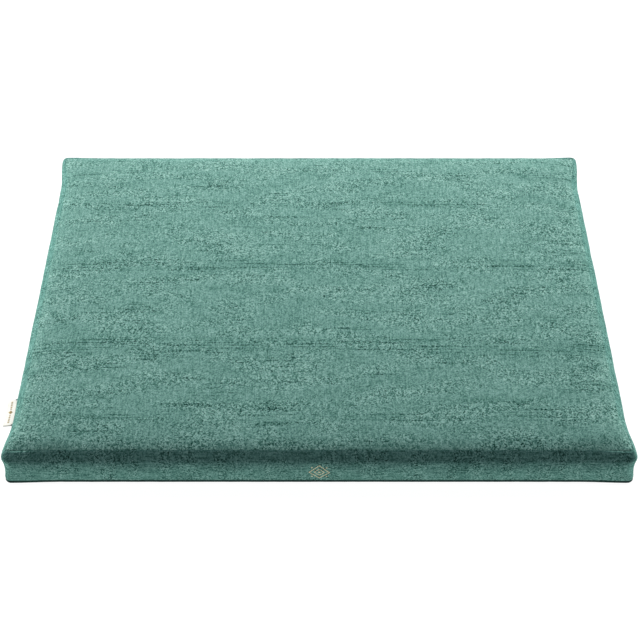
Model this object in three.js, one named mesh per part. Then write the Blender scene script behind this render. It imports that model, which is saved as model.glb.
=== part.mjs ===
// Zabuton meditation mat: a filled box cushion of soft chenille, about 90 x 70 x 7 cm, with a
// folded cloth label caught in its left side.
//
// Millimetres, +Z up. The origin is on the floor, under the middle of the mat. +X runs along
// the long front edge, +Y runs from the front edge to the back edge.

import * as THREE from 'three';

// ---------------------------------------------------------------------------
// Driving dimensions
// ---------------------------------------------------------------------------

const width = 890; // across the bulging short sides, halfway between the corners
const depth = 698; // across the bulging long sides, halfway between the corners
const crownHeight = 70; // top of the filled mat, above its middle

const earLength = 82; // how far along each side a corner ear fades into the straight side
const cornerSteps = 5; // facets round each corner
const straightSteps = 4; // facets along half of a straight side, between two ears

// Distances from the end of a corner's arc at which a side has a facet edge.
const earSteps = [10, 22, 36, 50, 66, 82];

const label = {
  length: 52, // along the side of the mat
  reach: 15.5, // from the side to the fold
  ply: 1, // thickness of one layer of the doubled cloth
  opening: 0.5, // space between its two layers
  droop: 6, // degrees below level
  fromFront: 71, // from the mat's front edge to the label's near end
  seatHeight: 48, // where its sewn edge meets the side
  clearance: 0.48, // space between the sewn edge and the side, before the label droops
};

const teal = new THREE.Color(0.13, 0.3, 0.26);
const ivory = new THREE.Color(0.86, 0.84, 0.78);

// ---------------------------------------------------------------------------
// The cushion's section
// ---------------------------------------------------------------------------

// One row for each level of the cushion, from the floor up round the side and in over the top.
//   inset         how far the level lies inside the widest line, halfway along a side
//   earX, earY    how much further out the level reaches at the corners
//   z, cornerZ    its height halfway along a side, and at the corners
//   radius        of the corner, seen from above
const section = [
  // the face that rests on the floor, and the soft lower edge
  { name: 'rest', inset: 10.5, earX: 9.0, earY: 3.0, z: 0, cornerZ: 0, radius: 10 },
  { name: 'lower edge', inset: 6.0, earX: 7.2, earY: 2.2, z: 1.2, cornerZ: 1.2, radius: 10 },
  { name: 'lower seam', inset: 3.6, earX: 6.4, earY: 1.8, z: 4.5, cornerZ: 4.5, radius: 11 },
  // the side strip: upright below, drawn in at the corners, and bulging above
  { name: 'upright', inset: 2.6, earX: 6.2, earY: 1.6, z: 11, cornerZ: 11, radius: 12 },
  { name: 'waist', inset: 1.4, earX: 5.2, earY: 1.2, z: 20, cornerZ: 20, radius: 13 },
  { name: 'under bulge', inset: 0.4, earX: 4.0, earY: 1.0, z: 29, cornerZ: 30, radius: 14 },
  { name: 'bulge', inset: 0, earX: 3.9, earY: 0.8, z: 38, cornerZ: 39, radius: 15 },
  { name: 'ear', inset: 1.0, earX: 6.0, earY: 1.2, z: 45, cornerZ: 46.5, radius: 14 },
  { name: 'shoulder', inset: 4.4, earX: 8.0, earY: 2.8, z: 52.2, cornerZ: 53, radius: 10 },
  { name: 'under seam', inset: 9.0, earX: 9.8, earY: 3.2, z: 57.4, cornerZ: 57.2, radius: 8 },
  // the seam between the side strip and the top panel lies in a narrow groove
  { name: 'strip lip', inset: 12.8, earX: 10.4, earY: 2.4, z: 60.4, cornerZ: 59.4, radius: 6 },
  { name: 'seam', inset: 14.6, earX: 10.6, earY: 2.2, z: 60.5, cornerZ: 59.3, radius: 5 },
  { name: 'panel lip', inset: 15.2, earX: 10.4, earY: 2.0, z: 62.2, cornerZ: 60.8, radius: 5 },
  // the top panel rolls over from the seam and rises to a low crown
  { name: 'roll', inset: 23, earX: 9.0, earY: 1.5, z: 63.8, cornerZ: 62.6, radius: 8 },
  { name: 'roll end', inset: 34, earX: 6.5, earY: 1.0, z: 64.9, cornerZ: 64, radius: 12 },
  { name: 'margin', inset: 56, earX: 3.0, earY: 0, z: 65.7, cornerZ: 65.2, radius: 20 },
  { name: 'panel 1', inset: 92, earX: 0, earY: 0, z: 66.6, cornerZ: 66.3, radius: 28 },
  { name: 'panel 2', inset: 142, earX: 0, earY: 0, z: 67.7, cornerZ: 67.5, radius: 34 },
  { name: 'panel 3', inset: 204, earX: 0, earY: 0, z: 68.8, cornerZ: 68.7, radius: 36 },
  { name: 'panel 4', inset: 268, earX: 0, earY: 0, z: 69.6, cornerZ: 69.6, radius: 30 },
  { name: 'crown', inset: 326, earX: 0, earY: 0, z: crownHeight, cornerZ: crownHeight, radius: 12 },
];

// How much of the ear is left at a distance from the corner's arc: 1 at the arc, 0 past the ear.
function earShare(distance) {
  return 1 - THREE.MathUtils.smoothstep(distance, 0, earLength);
}

// Where a side has its points, as parts of the way from its middle to its corner's arc.
function sideStations(halfSide) {
  const ear = earSteps.map((step) => 1 - step / halfSide);
  const earEnd = ear[ear.length - 1];
  const straight = [];
  for (let k = 0; k < straightSteps; k++) {
    straight.push((earEnd * k) / straightSteps);
  }
  return [...straight, ...ear.reverse()];
}

// A quarter of one level: from the middle of the right side, round the corner, to the middle of
// the back.
function quarter(row) {
  const halfX = width / 2 - row.inset;
  const halfY = depth / 2 - row.inset;
  const arcX = halfX + row.earX - row.radius;
  const arcY = halfY + row.earY - row.radius;
  const heightAt = (share) => THREE.MathUtils.lerp(row.z, row.cornerZ, share);
  const points = [];
  for (const station of sideStations(depth / 2)) {
    const share = earShare(arcY * (1 - station));
    points.push(new THREE.Vector3(halfX + row.earX * share, arcY * station, heightAt(share)));
  }
  for (let k = 0; k <= cornerSteps; k++) {
    const angle = (Math.PI / 2) * (k / cornerSteps);
    const x = arcX + row.radius * Math.cos(angle);
    const y = arcY + row.radius * Math.sin(angle);
    points.push(new THREE.Vector3(x, y, row.cornerZ));
  }
  for (const station of sideStations(width / 2).reverse()) {
    const share = earShare(arcX * (1 - station));
    points.push(new THREE.Vector3(arcX * station, halfY + row.earY * share, heightAt(share)));
  }
  return points;
}

// One closed level, counter-clockwise seen from above. Each quarter is a mirror image of the
// one before it, and shares its first point with it.
function level(row) {
  const first = quarter(row);
  const mirrored = (x, y) => first.map((p) => new THREE.Vector3(p.x * x, p.y * y, p.z));
  const quarters = [first, mirrored(-1, 1).reverse(), mirrored(-1, -1), mirrored(1, -1).reverse()];
  return quarters.flatMap((points) => points.slice(0, -1));
}

// ---------------------------------------------------------------------------
// Solids
// ---------------------------------------------------------------------------

// A closed solid through a stack of levels, each with the same number of points, closed by a
// flat fan at the bottom and at the top.
function stackedSolid(levels) {
  const around = levels[0].length;
  const positions = [];
  const triangles = [];
  for (const points of levels) {
    for (const point of points) {
      positions.push(point.x, point.y, point.z);
    }
  }
  for (let row = 0; row < levels.length - 1; row++) {
    for (let k = 0; k < around; k++) {
      const next = (k + 1) % around;
      const a = row * around + k;
      const b = row * around + next;
      const c = b + around;
      const d = a + around;
      triangles.push(a, b, c, a, c, d);
    }
  }
  const bottomCentre = positions.length / 3;
  positions.push(0, 0, levels[0][0].z);
  const topCentre = bottomCentre + 1;
  positions.push(0, 0, levels[levels.length - 1][0].z);
  const topStart = (levels.length - 1) * around;
  for (let k = 0; k < around; k++) {
    const next = (k + 1) % around;
    triangles.push(bottomCentre, next, k);
    triangles.push(topCentre, topStart + k, topStart + next);
  }
  const geometry = new THREE.BufferGeometry();
  geometry.setAttribute('position', new THREE.Float32BufferAttribute(positions, 3));
  geometry.setIndex(triangles);
  geometry.computeVertexNormals();
  return geometry;
}

// The label's section: two layers of cloth joined by a round fold. Its sewn edge is at x = 0
// and its fold points along +X.
function foldedSection() {
  const outer = label.ply + label.opening / 2;
  const inner = label.opening / 2;
  const bend = label.reach - outer;
  const shape = new THREE.Shape();
  shape.moveTo(0, -outer);
  shape.lineTo(bend, -outer);
  shape.absarc(bend, 0, outer, -Math.PI / 2, Math.PI / 2, false);
  shape.lineTo(0, outer);
  shape.lineTo(0, inner);
  shape.lineTo(bend, inner);
  shape.absarc(bend, 0, inner, Math.PI / 2, -Math.PI / 2, true);
  shape.lineTo(0, -inner);
  shape.closePath();
  return shape;
}

function labelSolid() {
  return new THREE.ExtrudeGeometry(foldedSection(), {
    depth: label.length,
    bevelEnabled: false,
    curveSegments: 6,
  });
}

// How far out a short side reaches at a height and a distance from the mat's front edge.
function sideReach(height, fromFront) {
  const above = section.findIndex((row) => row.z >= height);
  const low = section[above - 1];
  const high = section[above];
  const share = (height - low.z) / (high.z - low.z);
  const inset = THREE.MathUtils.lerp(low.inset, high.inset, share);
  const ear = THREE.MathUtils.lerp(low.earX, high.earX, share);
  const radius = THREE.MathUtils.lerp(low.radius, high.radius, share);
  return width / 2 - inset + ear * earShare(fromFront - inset - radius);
}

// ---------------------------------------------------------------------------
// The mat
// ---------------------------------------------------------------------------

function cushion() {
  const mesh = new THREE.Mesh(
    stackedSolid(section.map(level)),
    new THREE.MeshStandardMaterial({ color: teal, roughness: 0.95, metalness: 0 }),
  );
  mesh.name = 'cushion';
  return mesh;
}

// The label stands out from the left side, near the front, hangs a little and runs along the
// side where it starts to flare into the ear. The side slopes out below the label, so the lower
// corner of the sewn edge sets the clearance.
function sideLabel() {
  const mesh = new THREE.Mesh(
    labelSolid(),
    new THREE.MeshStandardMaterial({ color: ivory, roughness: 0.8, metalness: 0 }),
  );
  mesh.name = 'side_label';
  mesh.rotation.x = Math.PI / 2;
  const drooped = new THREE.Group();
  drooped.rotation.y = THREE.MathUtils.degToRad(label.droop);
  drooped.add(mesh);
  const lowestEdge = label.seatHeight - label.ply - label.opening;
  const nearReach = sideReach(lowestEdge, label.fromFront);
  const farReach = sideReach(lowestEdge, label.fromFront + label.length);
  const leftwards = new THREE.Group();
  leftwards.rotation.z = Math.PI + Math.atan2(nearReach - farReach, label.length);
  leftwards.position.set(
    -nearReach - label.clearance,
    label.fromFront - depth / 2,
    label.seatHeight,
  );
  leftwards.add(drooped);
  return leftwards;
}

const mat = new THREE.Group();
mat.name = 'zabuton mat';
mat.add(cushion(), sideLabel());

export default mat;
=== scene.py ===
"""Zabuton meditation mat: a filled box cushion in soft teal chenille, with a folded cloth label.

Metres, +Z up, in the frame of the CAD model: the origin is on the floor under the middle of the
mat, +X runs along the front edge and +Y from the front edge to the back edge.
"""

import math

import bpy
import numpy as np
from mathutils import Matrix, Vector, noise
from mathutils.bvhtree import BVHTree
from mathutils.kdtree import KDTree


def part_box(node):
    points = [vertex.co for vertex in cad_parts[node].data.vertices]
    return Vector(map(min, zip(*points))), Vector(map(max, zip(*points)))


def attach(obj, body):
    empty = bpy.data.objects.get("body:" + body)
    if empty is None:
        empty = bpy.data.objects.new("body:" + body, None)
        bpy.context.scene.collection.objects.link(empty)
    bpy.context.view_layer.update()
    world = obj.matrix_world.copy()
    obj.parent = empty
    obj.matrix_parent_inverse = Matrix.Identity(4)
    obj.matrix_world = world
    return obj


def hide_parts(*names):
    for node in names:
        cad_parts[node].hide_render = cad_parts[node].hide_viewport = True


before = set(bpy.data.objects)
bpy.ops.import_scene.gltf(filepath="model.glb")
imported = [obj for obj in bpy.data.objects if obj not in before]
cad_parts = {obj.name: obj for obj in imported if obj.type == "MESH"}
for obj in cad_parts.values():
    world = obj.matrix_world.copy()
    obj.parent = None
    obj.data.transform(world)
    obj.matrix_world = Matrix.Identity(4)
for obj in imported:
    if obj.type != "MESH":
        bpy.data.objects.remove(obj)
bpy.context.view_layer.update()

MM = 0.001

# ---------------------------------------------------------------------------
# The cushion's section
# ---------------------------------------------------------------------------

WIDTH = 890.2 * MM  # across the bulging short sides, halfway between the corners
DEPTH = 698 * MM  # across the bulging long sides, halfway between the corners
EAR_LENGTH = 82 * MM  # how far along each side a corner ear fades into the straight side
EAR_TAPER = 1.45  # how quickly it does so next to the corner

# One row for each level, from the floor up round the side and in over the top, in millimetres:
# how far it lies inside the widest level, how far the corner ears carry it out along X and along
# Y, its height halfway along the sides and at the corners, and the radius of its corners. It
# follows the CAD source, with a slightly plumper border and a slightly higher lower seam.
SECTION = {
    "rest": (8.5, 10.4, 2.2, 0, 0, 8),
    "lower edge": (3.4, 8.0, 1.8, 2.0, 2.0, 8),
    "lower seam": (2.8, 7.4, 1.7, 8.8, 8.5, 8),
    "upright": (2.3, 6.8, 1.8, 13, 13, 10),
    "waist": (1.4, 5.1, 1.3, 20, 20, 12),
    "under bulge": (0.4, 3.9, 1.0, 29, 30, 14),
    "bulge": (0, 4.2, 0.8, 38, 39, 15),
    "ear": (0.7, 6.2, 1.2, 47.9, 48.4, 13),
    "shoulder": (4.1, 8.2, 2.2, 53.8, 54.0, 9),
    "under seam": (8.9, 10.2, 2.3, 57.4, 57.2, 7),
    "strip lip": (12.0, 10.8, 1.6, 60.2, 59.6, 5.5),
    "seam": (13.7, 10.9, 1.3, 61.6, 60.6, 5),
    "panel lip": (16.0, 11.0, 1.2, 62.8, 61.8, 5),
    "roll": (23, 9.4, 1.5, 66.3, 65.1, 8),
    "roll end": (34, 6.5, 1.0, 67.6, 66.6, 12),
    "margin": (56, 3.0, 0, 68.2, 67.7, 20),
    "panel 1": (92, 0, 0, 68.7, 68.4, 28),
    "panel 2": (142, 0, 0, 69.2, 69.0, 34),
    "panel 3": (204, 0, 0, 69.6, 69.5, 36),
    "panel 4": (268, 0, 0, 69.9, 69.85, 30),
    "crown": (326, 0, 0, 70, 70, 12),
}

NAMES = list(SECTION)


def rows(first, last):
    """The section's rows from one name to another, in metres."""
    chosen = NAMES[NAMES.index(first) : NAMES.index(last) + 1]
    return np.array([SECTION[name] for name in chosen], dtype=float) * MM


def smoothstep(x, low, high):
    t = np.clip((np.asarray(x, dtype=float) - low) / (high - low), 0, 1)
    return t * t * (3 - 2 * t)


def ear_share(distance):
    """How much of a corner ear is left at a distance from the corner's arc."""
    return (1 - smoothstep(distance, 0, EAR_LENGTH)) ** EAR_TAPER


def slopes(x, y):
    """Slopes for a smooth curve through points that doesn't swing past them."""
    step = np.diff(x)
    rise = np.diff(y, axis=0) / (step if y.ndim == 1 else step[:, None])
    product = rise[:-1] * rise[1:]
    inner = np.where(product > 0, 2 * product / (rise[:-1] + rise[1:] + 1e-12), 0)
    return np.concatenate([rise[:1], inner, rise[-1:]])


def curve(x, y, at):
    """A smooth curve through the points (x, y), read at the places in at."""
    x, y, at = np.asarray(x, float), np.asarray(y, float), np.asarray(at, float)
    at = np.clip(at, x[0], x[-1])
    k = np.clip(np.searchsorted(x, at, side="right") - 1, 0, len(x) - 2)
    span = x[k + 1] - x[k]
    t = (at - x[k]) / span
    slope = slopes(x, y)
    if y.ndim == 2:
        span, t = span[:, None], t[:, None]
    return (
        y[k] * (1 + 2 * t) * (1 - t) ** 2
        + slope[k] * span * t * (1 - t) ** 2
        + y[k + 1] * t * t * (3 - 2 * t)
        - slope[k + 1] * span * t * t * (1 - t)
    )


# ---------------------------------------------------------------------------
# The cushion's base mesh
# ---------------------------------------------------------------------------

ARC = 12 * MM  # of each side, next to a corner, goes round half of the corner's arc
CORNER_STATIONS = np.array([0, 1.4, 4, 8]) * MM  # stations on the corner's arc
STEP = 7 * MM  # between stations along the straight sides
STRIP_STEP = 4.4 * MM  # between rows of the side strip
UNDER_INSETS = (60 * MM, 150 * MM)  # of the rings under the mat, each with half as many points


def stations(half):
    """Distances from the corner, 0 first, at which half a side has its points."""
    count = round((half - ARC) / STEP)
    return np.concatenate([CORNER_STATIONS, np.linspace(ARC, half, count + 1)])


ALONG_X = stations(WIDTH / 2)
ALONG_Y = stations(DEPTH / 2)
COUNT_X = 2 * (len(ALONG_X) - 1)
COUNT_Y = 2 * (len(ALONG_Y) - 1)
AROUND = 2 * (COUNT_X + COUNT_Y)


def half_side(distances, half, reach, arc, radius, ear, z, corner_z):
    """Points of half a side as (along, out, up), from the corner to the middle. reach is how far
    the side lies out, arc where the corner's arc begins along it, and radius the arc's."""
    points = []
    for distance in distances:
        if distance < ARC:
            angle = math.pi / 4 * (1 - distance / ARC)
            beside = arc + radius * math.sin(angle)
            out = reach + ear - radius + radius * math.cos(angle)
            points.append((beside, out, corner_z))
        else:
            along = arc * (half - distance) / (half - ARC)
            share = float(ear_share(arc - along))
            points.append((along, reach + ear * share, z + (corner_z - z) * share))
    return np.array(points)


def flip(points, x, y):
    return points * np.array([x, y, 1])


def ring(row):
    """One level of the cushion, counter-clockwise from its front right corner."""
    inset, ear_x, ear_y, z, corner_z, radius = row
    half_x, half_y = WIDTH / 2 - inset, DEPTH / 2 - inset
    arc_x, arc_y = half_x + ear_x - radius, half_y + ear_y - radius
    right = half_side(ALONG_Y, DEPTH / 2, half_x, arc_y, radius, ear_x, z, corner_z)[:, [1, 0, 2]]
    back = half_side(ALONG_X, WIDTH / 2, half_y, arc_x, radius, ear_y, z, corner_z)
    sides = [
        np.concatenate([flip(right, 1, -1), right[::-1][1:]]),
        np.concatenate([back, flip(back, -1, 1)[::-1][1:]]),
        np.concatenate([flip(right, -1, 1), flip(right, -1, -1)[::-1][1:]]),
        np.concatenate([flip(back, -1, -1), flip(back, 1, -1)[::-1][1:]]),
    ]
    return np.concatenate([side[:-1] for side in sides])


def close_ring(values):
    return np.concatenate([values, values[:1]])


def distances_along(line):
    """How far along a line each of its points lies."""
    lengths = np.linalg.norm(np.diff(line, axis=0), axis=1)
    return np.concatenate([[0], np.cumsum(lengths)])


def sides_of(open_ring, count_x, count_y):
    """The right, back, left and front of a ring, each from left to right or front to back."""
    closed = close_ring(open_ring)
    right = closed[: count_y + 1]
    back = closed[count_y : count_y + count_x + 1][::-1]
    left = closed[count_y + count_x : 2 * count_y + count_x + 1][::-1]
    front = closed[2 * count_y + count_x :]
    return right, back, left, front


def panel_grid(outline, count_x, count_y):
    """A panel's points, spread smoothly between the four sides of its outline."""
    right, back, left, front = sides_of(outline, count_x, count_y)
    u = ((front[:, 0] - front[0, 0]) / (front[-1, 0] - front[0, 0]))[:, None, None]
    v = ((right[:, 1] - right[0, 1]) / (right[-1, 1] - right[0, 1]))[None, :, None]
    across = (1 - v) * front[:, None] + v * back[:, None]
    along = (1 - u) * left[None] + u * right[None]
    near = (1 - u) * front[0] + u * front[-1]
    far = (1 - u) * back[0] + u * back[-1]
    return across + along - (1 - v) * near - v * far


def top_panel(seam):
    """The top panel's points, at their heights."""
    grid = panel_grid(seam, COUNT_X, COUNT_Y)
    right, back, left, front = sides_of(seam, COUNT_X, COUNT_Y)
    from_x = np.minimum(right[None, :, 0] - grid[..., 0], grid[..., 0] - left[None, :, 0])
    from_y = np.minimum(back[:, None, 1] - grid[..., 1], grid[..., 1] - front[:, None, 1])
    grid[..., 2] = panel_height(grid[..., 0], grid[..., 1], from_x, from_y)
    grid[:, 0], grid[:, -1], grid[0], grid[-1] = front, back, left, right
    return grid


def number_grid(shell, grid, ring_ids):
    """Adds a panel's inner points, and gives the numbers of all of them. Its edge is ring_ids."""
    count_x, count_y = grid.shape[0] - 1, grid.shape[1] - 1
    numbers = np.zeros(grid.shape[:2], dtype=int)
    right, back, left, front = sides_of(np.asarray(ring_ids), count_x, count_y)
    numbers[:, 0], numbers[:, -1], numbers[0], numbers[-1] = front, back, left, right
    numbers[1:-1, 1:-1] = shell.add(grid[1:-1, 1:-1]).reshape(count_x - 1, count_y - 1)
    return numbers


ROUNDING = 6  # how square the levels of the top panel are
LEAST_DISTANCE = 1e-5  # from the seam, which keeps the power below in range


def panel_height(x, y, from_x, from_y):
    """Height of the top panel, from the distances to its seam along X and Y."""
    panel = rows("seam", "crown")
    inwards = panel[:, 0] - panel[0, 0]
    from_x, from_y = np.maximum(from_x, LEAST_DISTANCE), np.maximum(from_y, LEAST_DISTANCE)
    nearest = (from_x**-ROUNDING + from_y**-ROUNDING) ** (-1 / ROUNDING)
    _, ear_x, ear_y, _, _, radius = panel[0]
    half_x, half_y = WIDTH / 2 - panel[0, 0], DEPTH / 2 - panel[0, 0]
    share_x = ear_share(half_x + ear_x - radius - np.abs(x))
    share_y = ear_share(half_y + ear_y - radius - np.abs(y))
    share = share_x * share_y
    middle = curve(inwards, panel[:, 3], nearest.ravel()).reshape(x.shape)
    corner = curve(inwards, panel[:, 4], nearest.ravel()).reshape(x.shape)
    return middle + (corner - middle) * share


def strip_rows():
    """Rows of the side strip a step apart, from the lower seam to the strip's upper lip."""
    given = rows("lower seam", "strip lip")
    chord = np.concatenate([[0], np.cumsum(np.hypot(*np.diff(given[:, [0, 3]], axis=0).T))])
    count = round(chord[-1] / STRIP_STEP)
    return curve(chord, given, np.linspace(0, chord[-1], count + 1))


PANEL, STRIP, UNDER = 0, 1, 2  # the cloth parts of the cover, and their materials' places


class Shell:
    """Gathers a mesh's points and faces, with cloth coordinates for each corner of a face."""

    def __init__(self):
        self.points, self.faces, self.cloth, self.parts = [], [], [], []
        self.count = 0
        self.part = PANEL

    def add(self, points):
        """Adds points and gives their numbers."""
        start = self.count
        self.points.append(np.asarray(points).reshape(-1, 3))
        self.count += len(self.points[-1])
        return np.arange(start, self.count)

    def face(self, corners, cloth):
        self.faces.append([int(c) for c in corners])
        self.cloth.append(cloth)
        self.parts.append(self.part)

    def band(self, low, high, low_cloth, high_cloth, end):
        """Quads between two rings. Cloth coordinates are (up, along) and end is the whole way round."""
        n = len(low)
        for k in range(n):
            j = (k + 1) % n
            wrap = end if j == 0 else 0
            corners = (low[k], low[j], high[j], high[k])
            cloth = (low_cloth[k], low_cloth[j], high_cloth[j], high_cloth[k])
            self.face(corners, [(c[0], c[1] + (wrap if i in (1, 2) else 0)) for i, c in enumerate(cloth)])


STRIP_CLOTH = 0.31  # where on the bolt the side strip is cut
UNDER_CLOTH = (1.37, 2.11)  # and the bottom panel
MEASURED_LEVEL = 6  # the strip's row whose length its cloth coordinates follow
UNDER_RADIUS = 20 * MM  # of the corners of the rings under the mat
COARSER = 4  # sides of a top panel's quad to one side of a bottom panel's

FROM_ABOVE = ((0, 0), (1, 0), (1, 1), (0, 1))  # a quad's corners, counter-clockwise seen from there
FROM_BELOW = ((0, 0), (0, 1), (1, 1), (1, 0))


def flat_cloth(points):
    """Cloth coordinates of the top panel."""
    return [(p[0], p[1]) for p in points]


def under_cloth(points):
    """Cloth coordinates of the bottom panel, which faces down."""
    return [(p[0] + UNDER_CLOTH[0], UNDER_CLOTH[1] - p[1]) for p in points]


def strip_faces(shell):
    """The side strip, up to the top seam. Gives its lowest and its highest ring, as (ids, points)."""
    shell.part = STRIP
    lip, seam = rows("strip lip", "seam")
    levels = [ring(row) for row in strip_rows()] + [ring((lip + seam) / 2), ring(seam)]
    ids = [shell.add(points) for points in levels]
    along = distances_along(close_ring(levels[MEASURED_LEVEL]))
    up = 0
    cloth = [(STRIP_CLOTH, a) for a in along[:-1]]
    for k in range(len(levels) - 1):
        up += float(np.median(np.linalg.norm(levels[k + 1] - levels[k], axis=1)))
        above = [(STRIP_CLOTH + up, a) for a in along[:-1]]
        shell.band(ids[k], ids[k + 1], cloth, above, along[-1])
        cloth = above
    return (ids[0], levels[0]), (ids[-1], levels[-1])


def panel_faces(shell, grid, edge_ids, quad, cloth):
    """A panel's quads between the points of its grid. The numbers of its edge are edge_ids."""
    numbers = number_grid(shell, grid, edge_ids)
    for i in range(grid.shape[0] - 1):
        for j in range(grid.shape[1] - 1):
            at = [(i + a, j + b) for a, b in quad]
            shell.face([numbers[a] for a in at], cloth([grid[a] for a in at]))


def soft_edge_faces(shell, low_ids, low):
    """The bottom panel's soft edge, from the lower seam down to the floor. Gives its last ring."""
    for name in ("lower edge", "rest"):
        points = ring(rows(name, name)[0])
        below = shell.add(points)
        for k in range(AROUND):
            j = (k + 1) % AROUND
            four = (low[k], low[j], points[j], points[k])
            corners = (low_ids[k], low_ids[j], below[j], below[k])
            shell.face(corners[::-1], under_cloth(four[::-1]))
        low_ids, low = below, points
    return low_ids, low


def under_ring_faces(shell, low_ids, low):
    """Rings under the mat, each with half the points of the last. Gives the innermost."""
    for inset in UNDER_INSETS:
        points = ring((inset, 0, 0, 0, 0, UNDER_RADIUS))[:: AROUND // (len(low) // 2)]
        inside = shell.add(points)
        half = len(points)
        for k in range(half):
            j = (k + 1) % half
            a, b, c = 2 * k, 2 * k + 1, (2 * k + 2) % len(low)
            five = (low[a], points[k], points[j], low[c], low[b])
            corners = (low_ids[a], inside[k], inside[j], low_ids[c], low_ids[b])
            shell.face(corners, under_cloth(five))
        low_ids, low = inside, points
    return low_ids, low


def cushion_shell():
    """The closed cover: side strip, top panel and bottom panel, joined at their seams."""
    shell = Shell()
    lowest, (seam_ids, seam_points) = strip_faces(shell)
    shell.part = PANEL
    panel_faces(shell, top_panel(seam_points), seam_ids, FROM_ABOVE, flat_cloth)
    shell.part = UNDER
    low_ids, low = under_ring_faces(shell, *soft_edge_faces(shell, *lowest))
    grid = panel_grid(low, COUNT_X // COARSER, COUNT_Y // COARSER)
    panel_faces(shell, grid, low_ids, FROM_BELOW, under_cloth)
    return shell, seam_ids


def mesh_object(name, points, faces, cloth=None):
    mesh = bpy.data.meshes.new(name)
    mesh.from_pydata([tuple(p) for p in points], [], faces)
    if cloth is not None:
        layer = mesh.uv_layers.new(name="cloth")
        flat = np.array([c for corners in cloth for c in corners], dtype=np.float32)
        layer.data.foreach_set("uv", flat.ravel())
    mesh.polygons.foreach_set("use_smooth", np.ones(len(mesh.polygons), dtype=bool))
    mesh.update()
    piece = bpy.data.objects.new(name, mesh)
    bpy.context.scene.collection.objects.link(piece)
    return piece


def apply_modifiers(piece):
    """Replaces the piece's mesh by what its modifiers make of it."""
    graph = bpy.context.evaluated_depsgraph_get()
    graph.update()
    made = bpy.data.meshes.new_from_object(piece.evaluated_get(graph))
    old = piece.data
    piece.modifiers.clear()
    piece.data = made
    made.name = piece.name
    bpy.data.meshes.remove(old)


def crease(mesh, ids):
    """Sharpens the edges between the given points, for subdivision."""
    wanted = set(int(i) for i in ids)
    layer = mesh.attributes.new("crease_edge", "FLOAT", "EDGE")
    ends = np.zeros(len(mesh.edges) * 2, dtype=np.int32)
    mesh.edges.foreach_get("vertices", ends)
    values = [1.0 if a in wanted and b in wanted else 0.0 for a, b in ends.reshape(-1, 2)]
    layer.data.foreach_set("value", values)


# ---------------------------------------------------------------------------
# Filling the cover as cloth
# ---------------------------------------------------------------------------

FRAMES = 20
SLACK = 0.006  # of extra cloth, so that it puckers
FABRIC = {
    "quality": 5,
    "mass": 0.3,
    "tension_stiffness": 15,
    "compression_stiffness": 15,
    "shear_stiffness": 5,
    "bending_stiffness": 2,
    "use_pressure": True,
    "uniform_pressure_force": 4,
    "shrink_min": -SLACK,
}
UNEVEN = 0.6 * MM  # how uneven the cover starts out
BROAD_LUMPS, BROAD_SEED = 22, Vector((3.1, 7.7, 1.3))
SMALL_LUMPS, SMALL_SEED, SMALL_SHARE = 60, Vector((9.1, 2.7, 4.3)), 0.6
HELD_BELOW = 9.2 * MM  # the cloth that lies on the floor, with its seam, stays where it is
FINE_STEPS = 3  # of smoothing that the cloth's puckers get
BROAD_STEPS = 60  # of smoothing that leaves the swelling alone, which is taken off again
PUCKER_CAP = 1.1 * MM  # how far the filling may move a point
PUCKER_SHARE = 0.6  # of the cloth's relief that is kept
PUCKER_REACH = 150 * MM  # how far in from the top seam it fades
PUCKER_FADE = 0.85  # how much of it is gone there


def coordinates(mesh):
    flat = np.zeros(len(mesh.vertices) * 3, dtype=np.float32)
    mesh.vertices.foreach_get("co", flat)
    return flat.reshape(-1, 3).astype(float)


def normals(mesh):
    flat = np.zeros(len(mesh.vertices) * 3, dtype=np.float32)
    mesh.vertices.foreach_get("normal", flat)
    return flat.reshape(-1, 3).astype(float)


def move_points(mesh, points):
    mesh.vertices.foreach_set("co", points.astype(np.float32).ravel())
    mesh.update()


SHORTEST_EDGE = 0.1 * MM  # which keeps the weights in range


class Averager:
    """Smooths values over a mesh, each point towards its neighbours."""

    def __init__(self, mesh):
        ends = np.zeros(len(mesh.edges) * 2, dtype=np.int32)
        mesh.edges.foreach_get("vertices", ends)
        self.a, self.b = ends[::2], ends[1::2]
        points = coordinates(mesh)
        length = np.linalg.norm(points[self.a] - points[self.b], axis=1)
        self.weight = 1 / np.maximum(length, SHORTEST_EDGE)
        self.count = len(points)
        self.total = self.gather(self.weight, self.weight)

    def gather(self, to_a, to_b):
        return np.bincount(self.a, to_a, self.count) + np.bincount(self.b, to_b, self.count)

    def smooth(self, values, steps):
        for _ in range(steps):
            columns = [
                self.gather(column[self.b] * self.weight, column[self.a] * self.weight) / self.total
                for column in values.T
            ]
            values = (values + np.stack(columns, axis=1)) / 2
        return values


def uneven(points, outward):
    """The same points, slightly unevenly filled. The noise is fixed."""
    moved = []
    for point, out in zip(points, outward):
        place = Vector(point)
        height = noise.noise(place * BROAD_LUMPS + BROAD_SEED)
        height += SMALL_SHARE * noise.noise(place * SMALL_LUMPS + SMALL_SEED)
        moved.append(point + out * (UNEVEN * height))
    return np.array(moved)


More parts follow.
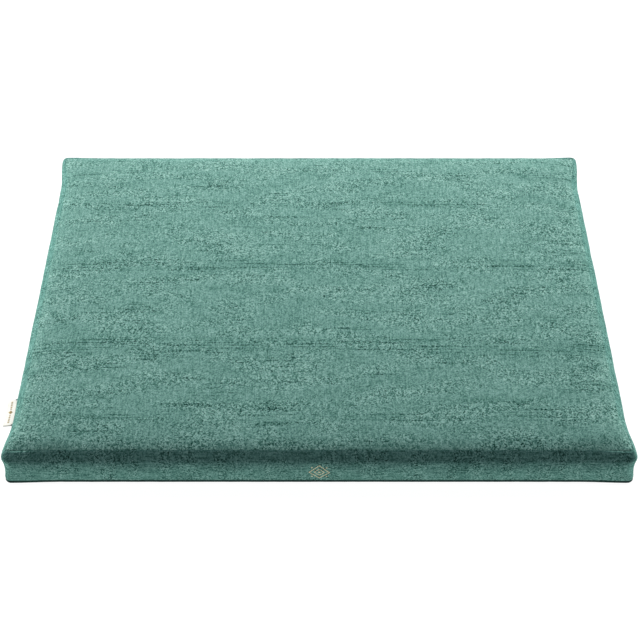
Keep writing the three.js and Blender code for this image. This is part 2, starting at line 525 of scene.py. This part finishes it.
def inflate(piece, held):
    """Where the piece's points go when it is filled as cloth, with the held ones kept in place."""
    trial = piece.copy()
    trial.data = piece.data.copy()
    bpy.context.scene.collection.objects.link(trial)
    start = uneven(coordinates(piece.data), normals(piece.data))
    start[held] = coordinates(piece.data)[held]
    move_points(trial.data, start)
    group = trial.vertex_groups.new(name="held")
    group.add([int(i) for i in held], 1.0, "REPLACE")
    cloth = trial.modifiers.new("cloth", "CLOTH")
    cloth.collision_settings.use_collision = False
    cloth.point_cache.frame_start = 1
    cloth.point_cache.frame_end = FRAMES
    for name, value in FABRIC.items():
        setattr(cloth.settings, name, value)
    cloth.settings.vertex_group_mass = "held"
    cloth.settings.effector_weights.gravity = 0
    for frame_number in range(1, FRAMES + 1):
        bpy.context.scene.frame_set(frame_number)
    graph = bpy.context.evaluated_depsgraph_get()
    filled = coordinates(trial.evaluated_get(graph).data)
    bpy.context.scene.frame_set(1)
    mesh = trial.data
    bpy.data.objects.remove(trial)
    bpy.data.meshes.remove(mesh)
    return filled


def from_edge(points):
    """How far each point lies inside the top seam's straight sides."""
    inset = rows("seam", "seam")[0][0]
    from_x = WIDTH / 2 - inset - np.abs(points[:, 0])
    from_y = DEPTH / 2 - inset - np.abs(points[:, 1])
    return np.minimum(from_x, from_y)


def fill_cover(piece, seam_ids):
    """Gives the cover the puckers that it gets when it is filled, without the swelling."""
    points = coordinates(piece.data)
    held = np.union1d(seam_ids, np.nonzero(points[:, 2] < HELD_BELOW)[0])
    moved = inflate(piece, held) - points
    averager = Averager(piece.data)
    relief = averager.smooth(moved, FINE_STEPS) - averager.smooth(moved, BROAD_STEPS)
    fade = 1 - PUCKER_FADE * smoothstep(from_edge(points), 0, PUCKER_REACH)
    relief *= PUCKER_SHARE * fade[:, None]
    length = np.linalg.norm(relief, axis=1)
    relief *= np.minimum(1, PUCKER_CAP / np.maximum(length, 1e-9))[:, None]
    relief[held] = 0
    move_points(piece.data, points + relief)


# ---------------------------------------------------------------------------
# Seams
# ---------------------------------------------------------------------------

GROOVE_WIDTH = 1.1 * MM
LIP_PLACE = 3.2 * MM  # of the soft lip on both sides of a seam
LIP_WIDTH = 2.0 * MM
GATHER_REACH = 11 * MM  # how far the small gathers reach from a seam
GATHERS = ((1.0, 52, 4.7), (0.7, 110, 8.1))  # strength, how many to a metre, and seed
SEAM_REACH = 40 * MM  # how far from a seam points are moved
SEAM_HEIGHT = 12 * MM  # how far above and below a seam points are looked at
LINE_STEP = 1 * MM
CORNER_NEAR, CORNER_FAR = 5 * MM, 60 * MM  # from the widest level, where a corner begins and ends

# The depth of each seam's groove along the sides and at the corners, the height of its lips
# there, and how strong its gathers are.
SEAMS = {
    "seam": (0.30 * MM, 1.25 * MM, 0.05 * MM, 0.55 * MM, 0.28 * MM),
    "lower seam": (0.45 * MM, 0.80 * MM, 0.10 * MM, 0.30 * MM, 0.22 * MM),
}


def seam_line(name):
    """A seam's points, a small step apart, and how far along it each lies."""
    closed = close_ring(ring(rows(name, name)[0]))
    along = distances_along(closed)
    places = np.arange(0, along[-1], LINE_STEP)
    return np.stack([np.interp(places, along, closed[:, k]) for k in range(3)], axis=1), places


def near_corner(point):
    """1 at a corner ear, and 0 along the sides."""
    off_x = smoothstep(WIDTH / 2 - abs(point[0]), CORNER_NEAR, CORNER_FAR)
    off_y = smoothstep(DEPTH / 2 - abs(point[1]), CORNER_NEAR, CORNER_FAR)
    return float((1 - off_x) * (1 - off_y))


def gathers(along):
    """Small uneven gathers along a seam, above and below 0."""
    return sum(share * noise.noise(Vector((along * pitch, seed, 0))) for share, pitch, seed in GATHERS)


def sew(piece, name):
    """Draws a seam in, between two soft lips, with small gathers across it."""
    side_depth, corner_depth, side_lip, corner_lip, gather = SEAMS[name]
    line, places = seam_line(name)
    tree = KDTree(len(line))
    for k, point in enumerate(line):
        tree.insert(point, k)
    tree.balance()
    points, outward = coordinates(piece.data), normals(piece.data)
    level = np.abs(points[:, 2] - line[:, 2].mean()) < SEAM_HEIGHT
    for i in np.nonzero(level & (from_edge(points) < SEAM_REACH))[0]:
        _, k, distance = tree.find(points[i])
        if distance > SEAM_REACH:
            continue
        corner = near_corner(points[i])
        depth = side_depth + (corner_depth - side_depth) * corner
        lip = side_lip + (corner_lip - side_lip) * corner
        height = -depth * math.exp(-((distance / GROOVE_WIDTH) ** 2))
        height += lip * math.exp(-(((distance - LIP_PLACE) / LIP_WIDTH) ** 2))
        fade = math.exp(-distance / GATHER_REACH) * min(1, distance / LIP_PLACE)
        height += gather * fade * gathers(places[k])
        points[i] += outward[i] * height
    move_points(piece.data, points)


def make_cushion():
    shell, seam_ids = cushion_shell()
    cushion = mesh_object("mat_cushion", np.concatenate(shell.points), shell.faces, shell.cloth)
    cushion.data.polygons.foreach_set("material_index", np.array(shell.parts, dtype=np.int32))
    crease(cushion.data, seam_ids)
    fill_cover(cushion, seam_ids)
    smooth = cushion.modifiers.new("smooth", "SUBSURF")
    smooth.levels = smooth.render_levels = 1
    apply_modifiers(cushion)
    for name in SEAMS:
        sew(cushion, name)
    return cushion


# ---------------------------------------------------------------------------
# Threads
# ---------------------------------------------------------------------------

THREAD_SIDES = 6
ARCH_POWER = 0.6  # how flat a stitch runs over its top
SUNK = 0.5  # how deep its ends are sunk in, as a share of its lift
END_SIZE, SWELL = 0.55, 0.45  # its thickness at its ends, and what its middle has more


class Threads:
    """Gathers many short stitches into one mesh. A stitch is a tube that arches out of the cloth."""

    def __init__(self):
        self.points, self.faces = [], []

    def stitch(self, start, end, out, radius, lift, steps=5):
        """A stitch from start to end, standing out by lift in its middle and sunk in at its ends."""
        start, end, out = Vector(start), Vector(end), Vector(out).normalized()
        along = (end - start).normalized()
        beside = along.cross(out).normalized()
        first = len(self.points)
        for k in range(steps + 1):
            part = k / steps
            arch = math.sin(math.pi * part) ** ARCH_POWER
            centre = start.lerp(end, part) + out * (lift * ((1 + SUNK) * arch - SUNK))
            size = radius * (END_SIZE + SWELL * arch)
            for side in range(THREAD_SIDES):
                angle = 2 * math.pi * side / THREAD_SIDES
                self.points.append(centre + size * (math.cos(angle) * beside + math.sin(angle) * out))
        for k in range(steps):
            for side in range(THREAD_SIDES):
                a = first + k * THREAD_SIDES + side
                b = first + k * THREAD_SIDES + (side + 1) % THREAD_SIDES
                self.faces.append((a, b, b + THREAD_SIDES, a + THREAD_SIDES))
        last = first + steps * THREAD_SIDES
        self.faces.append(tuple(first + side for side in reversed(range(THREAD_SIDES))))
        self.faces.append(tuple(last + side for side in range(THREAD_SIDES)))

    def make(self, name):
        return mesh_object(name, self.points, self.faces)


# ---------------------------------------------------------------------------
# The embroidered motif on the front
# ---------------------------------------------------------------------------

MOTIF_HEIGHT = 28.5 * MM  # of its middle above the floor
MOTIF_HALF = 14.5 * MM  # from its middle to the tips of the outer lozenge
MOTIF_INNER = 0.5  # size of the inner lozenge, beside the outer one's
MOTIF_DOTS = 0.72  # how far out the four dots lie, beside the tips
MIDDLE_DOT = 1.8 * MM
SIDE_DOT = 1.4 * MM
SATIN_WIDTH = 1.5 * MM
SATIN_PITCH = 0.42 * MM
SATIN_RADIUS = 0.24 * MM
SATIN_LIFT = 0.30 * MM


def front_point(surface, x, z):
    """The point and the outward direction of the mat's front at a place."""
    point, out, _, _ = surface.ray_cast(Vector((x, -1, z)), Vector((0, 1, 0)))
    return point, out


def satin_line(threads, surface, start, end):
    """Close threads laid across a line from start to end, both (x, z) on the front."""
    start, end = Vector(start), Vector(end)
    along = (end - start).normalized()
    across = Vector((-along.y, along.x)) * (SATIN_WIDTH / 2)
    count = max(2, round((end - start).length / SATIN_PITCH))
    for k in range(count + 1):
        middle = start.lerp(end, k / count)
        low, out = front_point(surface, *(middle - across))
        high, _ = front_point(surface, *(middle + across))
        threads.stitch(low, high, out, SATIN_RADIUS, SATIN_LIFT)


def satin_dot(threads, surface, centre, radius):
    count = round(2 * radius / SATIN_PITCH)
    for k in range(1, count):
        x = -radius + 2 * radius * k / count
        half = math.sqrt(radius * radius - x * x)
        low, out = front_point(surface, centre[0] + x, centre[1] - half)
        high, _ = front_point(surface, centre[0] + x, centre[1] + half)
        threads.stitch(low, high, out, SATIN_RADIUS, SATIN_LIFT)


def make_motif(surface):
    """Two nested lozenges with a dot in the middle and one off each side."""
    threads = Threads()
    for size in (MOTIF_HALF, MOTIF_HALF * MOTIF_INNER):
        tips = [(size, 0), (0, size), (-size, 0), (0, -size)]
        tips = [(x, z + MOTIF_HEIGHT) for x, z in tips]
        for k in range(4):
            satin_line(threads, surface, tips[k], tips[(k + 1) % 4])
    satin_dot(threads, surface, (0, MOTIF_HEIGHT), MIDDLE_DOT)
    far = MOTIF_HALF * MOTIF_DOTS
    for x, z in ((far, far), (-far, far), (-far, -far), (far, -far)):
        satin_dot(threads, surface, (x, MOTIF_HEIGHT + z), SIDE_DOT)
    return threads.make("front_motif")


# ---------------------------------------------------------------------------
# The folded label on the left side
# ---------------------------------------------------------------------------

LABEL_LENGTH = 52 * MM
LABEL_REACH = 14.2 * MM
LABEL_SEAT = 48.5 * MM  # height of its sewn edge
LABEL_OPENING = 0.7 * MM  # between its two layers
LABEL_BELLY = 0.25 * MM  # by which each layer bows out
LABEL_BEND = 0.94  # of its reach, where its fold begins
BEND_LENGTH = 1.6  # of the fold, beside half the opening
LABEL_DROOP = 1.7 * MM  # of its fold
DROOP_POWER = 1.6
LABEL_WAVES = ((0.35 * MM, 2.4, 0.6), (0.2 * MM, 5.1, 0))  # height, half waves along it, and shift
LABEL_PLY = 0.35 * MM
LABEL_COLUMNS = 52
LABEL_TUCK = 0.6 * MM  # of each layer inside the side strip
LABEL_END = 0.2 * MM  # from its node's front end


def side_point(surface, y, z):
    """The point of the mat's left side at a place."""
    return surface.ray_cast(Vector((-1, y, z)), Vector((1, 0, 0)))[0]


def label_section():
    """The folded ribbon's run as (out, up), from its upper sewn edge round the fold to its lower."""
    half = LABEL_OPENING / 2
    shares = np.linspace(0, LABEL_BEND, 14)
    upper = [(share * LABEL_REACH, half + LABEL_BELLY * math.sin(math.pi * share)) for share in shares]
    bend = [
        (LABEL_BEND * LABEL_REACH + half * BEND_LENGTH * math.sin(a), half * math.cos(a))
        for a in np.linspace(math.pi / 8, 7 * math.pi / 8, 7)
    ]
    lower = [(out, -up) for out, up in upper[::-1]]
    return upper + bend + lower


def label_droop(out, along):
    """How far the ribbon hangs down and waves, at a distance from its seam and along it."""
    share = out / LABEL_REACH
    wave = sum(height * math.sin(count * math.pi * along + shift) for height, count, shift in LABEL_WAVES)
    return -LABEL_DROOP * share**DROOP_POWER + wave * share


def label_place(surface, along, out, up):
    """A point of the ribbon: along it from 0 at its front end to 1, out from the mat, and up."""
    low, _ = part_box("side_label")
    y = low[1] + LABEL_END + along * LABEL_LENGTH
    seat = side_point(surface, y, LABEL_SEAT)
    return Vector((seat.x + LABEL_TUCK - out, y, LABEL_SEAT + up + label_droop(out, along)))


def make_label(surface):
    section = label_section()
    points, faces = [], []
    for column in range(LABEL_COLUMNS + 1):
        along = column / LABEL_COLUMNS
        points += [label_place(surface, along, out, up) for out, up in section]
    n = len(section)
    for column in range(LABEL_COLUMNS):
        for k in range(n - 1):
            a = column * n + k
            faces.append((a, a + 1, a + n + 1, a + n))
    uvs = [[(p % n / n, p // n / LABEL_COLUMNS) for p in face] for face in faces]
    label = mesh_object("folded_label", points, faces, uvs)
    ply = label.modifiers.new("ply", "SOLIDIFY")
    ply.thickness = LABEL_PLY
    ply.offset = 0
    apply_modifiers(label)
    return label


TACK_STITCHES = 7
TACK_PLACES = (0.02, 0.98)  # along the ribbon
TACK_HALF = 0.026  # of the ribbon's length
TACK_UNEVEN = 0.0028  # by which every other stitch ends further out
TACK_START, TACK_PITCH = 0.3, 0.32  # millimetres out from the ribbon's sewn edge
TACK_HEIGHT = 0.7 * MM
TACK_RADIUS = 0.2 * MM
TACK_LIFT = 0.2 * MM


def make_label_tacks(surface):
    """A bar tack over each end of the ribbon's sewn edge."""
    threads = Threads()
    for along in TACK_PLACES:
        for k in range(TACK_STITCHES):
            out = (TACK_START + TACK_PITCH * k) * MM
            shift = TACK_UNEVEN * (1 if k % 2 else -1)
            start = label_place(surface, along - TACK_HALF - shift, out, TACK_HEIGHT)
            end = label_place(surface, along + TACK_HALF + shift, out, TACK_HEIGHT)
            threads.stitch(start, end, (-0.2, 0, 1), TACK_RADIUS, TACK_LIFT)
    return threads.make("label_tacks")


DASHES = 6  # places for a dash on each side of the lozenge, of which the nearest stays bare
DASH_PITCH = 0.064  # of the ribbon's length
DASH_HALF = 0.021
DASH_ROWS = (-1.0 * MM, -0.5 * MM, 0, 0.5 * MM, 1.0 * MM)
LOZENGE_HALF = 3.2 * MM
LOZENGE_STITCHES = 7  # on each side of its middle one
LOZENGE_PITCH = 0.0095  # of the ribbon's length
ORNAMENT_ROW = 7.2 * MM  # from the ribbon's sewn edge
ORNAMENT_HEIGHT = LABEL_OPENING / 2 + 0.42 * MM
ORNAMENT_RADIUS = 0.3 * MM
ORNAMENT_LIFT = 0.1 * MM


def make_label_ornament(surface):
    """A plain row of gold dashes woven into the ribbon's upper face, with a lozenge in its middle."""
    threads = Threads()

    def woven(along_start, along_end, out_start, out_end):
        start = label_place(surface, along_start, ORNAMENT_ROW + out_start, ORNAMENT_HEIGHT)
        end = label_place(surface, along_end, ORNAMENT_ROW + out_end, ORNAMENT_HEIGHT)
        threads.stitch(start, end, (0, 0, 1), ORNAMENT_RADIUS, ORNAMENT_LIFT)

    for k in range(-DASHES, DASHES + 1):
        if abs(k) < 2:
            continue
        middle = 0.5 + k * DASH_PITCH
        for out in DASH_ROWS:
            woven(middle - DASH_HALF, middle + DASH_HALF, out, out)
    for k in range(-LOZENGE_STITCHES, LOZENGE_STITCHES + 1):
        half = LOZENGE_HALF * (1 - abs(k) / (LOZENGE_STITCHES + 1))
        along = 0.5 + k * LOZENGE_PITCH
        woven(along, along, -half, half)
    return threads.make("label_ornament")


# ---------------------------------------------------------------------------
# Materials
# ---------------------------------------------------------------------------


class Graph:
    """A material's node tree, with a short way to add a node and link its inputs."""

    def __init__(self, name):
        self.material = bpy.data.materials.new(name)
        self.material.use_nodes = True
        self.tree = self.material.node_tree
        self.tree.nodes.clear()

    def add(self, kind, inputs=(), **settings):
        node = self.tree.nodes.new("ShaderNode" + kind)
        for name, value in settings.items():
            setattr(node, name, value)
        for key, value in dict(inputs).items():
            if isinstance(value, bpy.types.NodeSocket):
                self.tree.links.new(value, node.inputs[key])
            else:
                node.inputs[key].default_value = value
        return node

    def math(self, operation, a, b=0.0, c=0.0):
        return self.add("Math", {0: a, 1: b, 2: c}, operation=operation).outputs[0]

    def ramp(self, value, low, high, out_low=0.0, out_high=1.0, kind="SMOOTHSTEP"):
        inputs = {0: value, 1: low, 2: high, 3: out_low, 4: out_high}
        return self.add("MapRange", inputs, interpolation_type=kind).outputs[0]

    def scaled(self, vector, x, y, z=1.0):
        return self.add("Mapping", {0: vector, 3: (x, y, z)}).outputs[0]

    def noise(self, vector, detail=2.0, roughness=0.5):
        inputs = {"Vector": vector, "Scale": 1.0, "Detail": detail, "Roughness": roughness}
        return self.add("TexNoise", inputs).outputs[0]

    def finish(self, shader):
        self.add("OutputMaterial", {"Surface": shader})
        return self.material


# Each part of the cover: its colour where the surface faces the view and where it turns away, between
# which a painted sheen mixes its base colour, and how strong its tufts, its lengthwise hairlines and
# its dark slubs are. The strip's colours are darker than the panel's, painted shade for its upright
# faces and front slope, and the underside's near-black colour is painted shade for the contact shadow
# along the bottom edge.
PILE = {
    "panel_chenille": ((0.0944, 0.2074, 0.1825, 1), (0.1377, 0.2765, 0.2367, 1), 1.32, 1.0, 1.0),
    # The strip's darker colours are painted shade for its upright faces and front slope.
    "strip_chenille_painted_shade": ((0.0525, 0.128, 0.1165, 1), (0.1005, 0.235, 0.2005, 1), 1.35, 1.5, 0.4),
    # The underside's near-black colours are painted shade for the contact shadow along the bottom edge.
    "under_cloth": ((0.005, 0.013, 0.011, 1), (0.009, 0.022, 0.019, 1), 1.0, 1.0, 0.5),
}

REPEAT = 0.48  # length of the cloth's pattern along the bolt

# Where the cloth's pattern has its longer streaks: along the bolt within a repeat, how far they
# spread, and how strong they are.
STREAK_BANDS = ((0.045, 0.012, 1.0), (0.200, 0.007, 0.8), (0.345, 0.014, 1.0))
BAND_START, BAND_END = 0.6, 1.6  # where a band's edge fades, beside how far it spreads

TUFTS = (640, 600)  # how many to a metre, across and along the bolt
TUFT_SOFTNESS = 0.35

# The noises of the pile: how many to a metre across and along the bolt, detail and roughness.
NOISES = {
    "drift": (12, 30, 3.0, 0.64),
    "mottle": (95, 115, 2.0, 0.7),
    "hair": (440, 42, 1.0, 0.5),
    "ragged": (9, 32, 2.0, 0.55),
    "stripe": (3, 290, 1.0, 0.5),
    "fibre": (2600, 1500, 2.0, 0.6),
    "line": (8, 330, 1.0, 0.4),
    "dots": (260, 330, 1.0, 0.5),
    "cluster": (9, 40, 2.0, 0.55),
}

# Between which values of its noise a mask goes from 0 to 1.
MASKS = {
    "ragged": (0.40, 0.60),
    "line": (0.56, 0.63),
    "dots": (0.38, 0.54),
    "cluster": (0.52, 0.62),
}

# How strong each is in the tone. A pair is what a ragged or streaked place adds to a share, and
# the share elsewhere.
DRIFT = 0.6
STREAKS = -0.05
STRIPES = (0.42, 0.08)
MOTTLE = (0.38, 0.18)
TUFTING = (0.55, 0.6)
HAIRS = (-0.5, 0.9)
FIBRES = 0.45
SLUBS = -0.6
DARKEST = 0.12  # of the tone


def streak_mask(g, cloth):
    """1 on the bands of long streaks, and 0 away from them."""
    along = g.add("SeparateXYZ", {0: cloth}).outputs[1]
    repeat = g.math("FLOORED_MODULO", along, REPEAT)
    total = None
    for middle, spread, strength in STREAK_BANDS:
        distance = g.math("ABSOLUTE", g.math("SUBTRACT", repeat, middle))
        band = g.ramp(distance, spread * BAND_START, spread * BAND_END, strength, 0)
        total = band if total is None else g.math("MAXIMUM", total, band)
    return total


def tufts(g, cloth):
    """The pile's tufts: a number from 0 to 1 for each, and the distance from its middle."""
    inputs = {"Vector": g.scaled(cloth, *TUFTS), "Scale": 1.0, "Smoothness": TUFT_SOFTNESS}
    cells = g.add("TexVoronoi", inputs, voronoi_dimensions="2D", feature="SMOOTH_F1")
    return g.add("SeparateColor", {0: cells.outputs["Color"]}).outputs[0], cells.outputs["Distance"]


def pile_noise(g, cloth, name):
    across, along, detail, roughness = NOISES[name]
    return g.noise(g.scaled(cloth, across, along), detail, roughness)


def pile_mask(g, cloth, name):
    return g.ramp(pile_noise(g, cloth, name), *MASKS[name])


def slub_mask(g, cloth, streaks):
    """1 on the short dark slubs, which lie in clusters and on the streaks, and 0 elsewhere."""
    broken_line = g.math("MULTIPLY", pile_mask(g, cloth, "line"), pile_mask(g, cloth, "dots"))
    place = g.math("MAXIMUM", pile_mask(g, cloth, "cluster"), streaks)
    return g.math("MULTIPLY", broken_line, place)


def chenille_tone(g, cloth, tuft, tufting, hairs, slubbing):
    """How bright the pile is beside its mean: 1 is usual."""
    ragged = pile_mask(g, cloth, "ragged")
    streaks = streak_mask(g, cloth)

    def centred(value):
        return g.math("SUBTRACT", value, 0.5)

    def share(mask, shares, strength=1.0):
        """A share that follows a mask: shares are what the mask adds, and what is there without it."""
        return g.math("MULTIPLY_ADD", mask, shares[0] * strength, shares[1] * strength)

    tone = g.math("MULTIPLY_ADD", centred(pile_noise(g, cloth, "drift")), DRIFT, 1.0)
    tone = g.math("MULTIPLY_ADD", streaks, STREAKS, tone)
    for value, amount in (
        (pile_noise(g, cloth, "stripe"), share(streaks, STRIPES)),
        (pile_noise(g, cloth, "mottle"), share(ragged, MOTTLE)),
        (tuft, share(ragged, TUFTING, tufting)),
        (pile_noise(g, cloth, "hair"), share(ragged, HAIRS, hairs)),
        (pile_noise(g, cloth, "fibre"), FIBRES),
    ):
        tone = g.math("MULTIPLY_ADD", centred(value), amount, tone)
    tone = g.math("MULTIPLY_ADD", slub_mask(g, cloth, streaks), SLUBS * slubbing, tone)
    return g.math("MAXIMUM", tone, DARKEST)


RED_DEPTH = 1.42  # how much faster than green red fades where the pile is darker
BLUE_DEPTH = 1.06  # and blue
TONE_HEIGHT = 0.6  # of the pile, by which a brighter place stands higher
PILE_HEIGHT = 0.3 * MM
PAINTED_SHEEN_START, PAINTED_SHEEN_END = 0.04, 0.55  # where the pile's colour goes from deep to pale


def chenille(name, deep, pale, tufting, hairs, slubbing):
    g = Graph(name)
    cloth = g.add("UVMap", uv_map="cloth").outputs[0]
    tuft, from_middle = tufts(g, cloth)
    tone = chenille_tone(g, cloth, tuft, tufting, hairs, slubbing)
    height = g.math("MULTIPLY_ADD", from_middle, -1.0, g.math("MULTIPLY", tone, TONE_HEIGHT))
    bump = g.add("Bump", {"Strength": 0.5, "Distance": PILE_HEIGHT, "Height": height})
    # Painted sheen: the base colour goes from deep where the surface faces the view to pale as it turns
    # away.
    facing = g.add("LayerWeight", {"Blend": 0.5, "Normal": bump.outputs[0]}).outputs["Facing"]
    across = g.ramp(facing, PAINTED_SHEEN_START, PAINTED_SHEEN_END)
    pile = g.add("Mix", {0: across, 6: deep, 7: pale}, data_type="RGBA").outputs[2]
    red, blue = g.math("POWER", tone, RED_DEPTH), g.math("POWER", tone, BLUE_DEPTH)
    tint = g.add("CombineXYZ", {0: red, 1: tone, 2: blue}).outputs[0]
    toned = g.add("VectorMath", {0: pile, 1: tint}, operation="MULTIPLY").outputs[0]
    shader = g.add(
        "BsdfPrincipled",
        {
            "Base Color": toned,
            "Roughness": 0.95,
            "Specular IOR Level": 0.05,
            "Sheen Weight": 0.18,
            "Sheen Roughness": 0.5,
            "Sheen Tint": (0.28, 0.75, 0.66, 1),
            "Normal": bump.outputs[0],
        },
    )
    return g.finish(shader.outputs[0])


def ribbon():
    """Smooth ivory satin ribbon, with its fine ribs across it."""
    g = Graph("ribbon")
    place = g.add("NewGeometry").outputs["Position"]
    rib = g.noise(g.scaled(place, 300, 2600, 300), 2.0, 0.6)
    tone = g.ramp(rib, 0.3, 0.7, 0.9, 1.04)
    colour = g.add("VectorMath", {0: (0.82, 0.80, 0.73), 3: tone}, operation="SCALE").outputs[0]
    bump = g.add("Bump", {"Strength": 0.25, "Distance": 0.0001, "Height": rib})
    look = {"Base Color": colour, "Roughness": 0.45, "Sheen Weight": 0.2, "Normal": bump.outputs[0]}
    return g.finish(g.add("BsdfPrincipled", look).outputs[0])


def thread(name, colour, roughness):
    """Embroidery thread, with a fine uneven grain like its twist."""
    g = Graph(name)
    place = g.add("NewGeometry").outputs["Position"]
    twist = g.noise(g.scaled(place, 2600, 2600, 2600), 2.0, 0.6)
    tone = g.ramp(twist, 0.3, 0.7, 0.72, 1.15)
    toned = g.add("VectorMath", {0: colour, 3: tone}, operation="SCALE").outputs[0]
    bump = g.add("Bump", {"Strength": 0.3, "Distance": 0.0001, "Height": twist})
    look = {"Base Color": toned, "Roughness": roughness, "Sheen Weight": 0.3, "Normal": bump.outputs[0]}
    return g.finish(g.add("BsdfPrincipled", look).outputs[0])


FLOOR_GLOW = 0.97  # the floor is a white sheet lit from below


def paper_floor():
    g = Graph("floor")
    look = {
        "Base Color": (0.2, 0.2, 0.2, 1),
        "Roughness": 0.9,
        "Specular IOR Level": 0.0,
        "Emission Color": (1, 1, 1, 1),
        "Emission Strength": FLOOR_GLOW,
    }
    return g.finish(g.add("BsdfPrincipled", look).outputs[0])


# ---------------------------------------------------------------------------
# Floor, light and camera
# ---------------------------------------------------------------------------

FLOOR_SIZE = 60.0
PITCH = math.radians(44)  # of the camera below the horizon
LENS = 80.44
CAMERA_DISTANCE = 2.1932
SENSOR = 36
AIM = Vector((0.001, -0.0804, 0.07))


def make_floor():
    half = FLOOR_SIZE / 2
    corners = [(-half, -half, 0), (half, -half, 0), (half, half, 0), (-half, half, 0)]
    floor = mesh_object("floor", corners, [(0, 1, 2, 3)])
    floor.data.materials.append(paper_floor())


# The big softbox above and behind the mat, and a low one at each side: place, size and power.
SOFTBOXES = {
    "key": (Vector((0, 1.46, 1.68)), (4.5, 1.95), 116),
    "left_fill": (Vector((-1.9, 0, 0.3)), (1.0, 0.5), 17),
    "right_fill": (Vector((1.9, 0, 0.3)), (1.0, 0.5), 11),
}
CEILING = 0.06  # brightness of the room overhead
WALLS = 1.0  # and of its walls
WALL_TOP, CEILING_START = 0.22, 0.34  # sines of their angles above the horizon


def make_world():
    """A room with pale walls and a darker ceiling."""
    world = bpy.data.worlds.new("studio")
    bpy.context.scene.world = world
    world.use_nodes = True
    tree = world.node_tree
    way = tree.nodes.new("ShaderNodeTexCoord").outputs["Generated"]
    up = tree.nodes.new("ShaderNodeSeparateXYZ")
    fade = tree.nodes.new("ShaderNodeMapRange")
    tree.links.new(way, up.inputs[0])
    tree.links.new(up.outputs[2], fade.inputs[0])
    for socket, value in {1: WALL_TOP, 2: CEILING_START, 3: WALLS, 4: CEILING}.items():
        fade.inputs[socket].default_value = value
    sky = tree.nodes["Background"]
    sky.inputs["Color"].default_value = (1, 1, 1, 1)
    tree.links.new(fade.outputs[0], sky.inputs["Strength"])


def make_softbox(name, place, size, power):
    softbox = bpy.data.lights.new(name, "AREA")
    softbox.shape = "RECTANGLE"
    softbox.size, softbox.size_y = size
    softbox.energy = power
    lamp = bpy.data.objects.new(name, softbox)
    lamp.location = place
    lamp.rotation_euler = (-place).to_track_quat("-Z", "Y").to_euler()
    lamp.visible_camera = False
    bpy.context.scene.collection.objects.link(lamp)


def make_camera():
    data = bpy.data.cameras.new("camera")
    data.lens = LENS
    data.sensor_width = SENSOR
    camera = bpy.data.objects.new("camera", data)
    camera.location = AIM + CAMERA_DISTANCE * Vector((0, -math.cos(PITCH), math.sin(PITCH)))
    camera.rotation_euler = (math.pi / 2 - PITCH, 0, 0)
    bpy.context.scene.collection.objects.link(camera)
    bpy.context.scene.camera = camera


# ---------------------------------------------------------------------------
# The scene
# ---------------------------------------------------------------------------

bpy.context.scene.view_settings.view_transform = "Standard"
make_camera()
make_world()
for name, look in SOFTBOXES.items():
    make_softbox(name, *look)
make_floor()

cushion = make_cushion()
for name, look in PILE.items():
    cushion.data.materials.append(chenille(name, *look))
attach(cushion, "root")
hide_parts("cushion")

surface = BVHTree.FromObject(cushion, bpy.context.evaluated_depsgraph_get())

label = make_label(surface)
label.data.materials.append(ribbon())
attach(label, "root")
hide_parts("side_label")

gold = thread("gold_thread", (0.72, 0.70, 0.47), 0.5)
bronze = thread("bronze_thread", (0.42, 0.31, 0.10), 0.5)
teal = thread("teal_thread", (0.03, 0.07, 0.062), 0.7)
tacks = make_label_tacks(surface)
tacks.data.materials.append(teal)
ornament = make_label_ornament(surface)
ornament.data.materials.append(bronze)
motif = make_motif(surface)
motif.data.materials.append(gold)
for piece in (tacks, ornament, motif):
    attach(piece, "root")
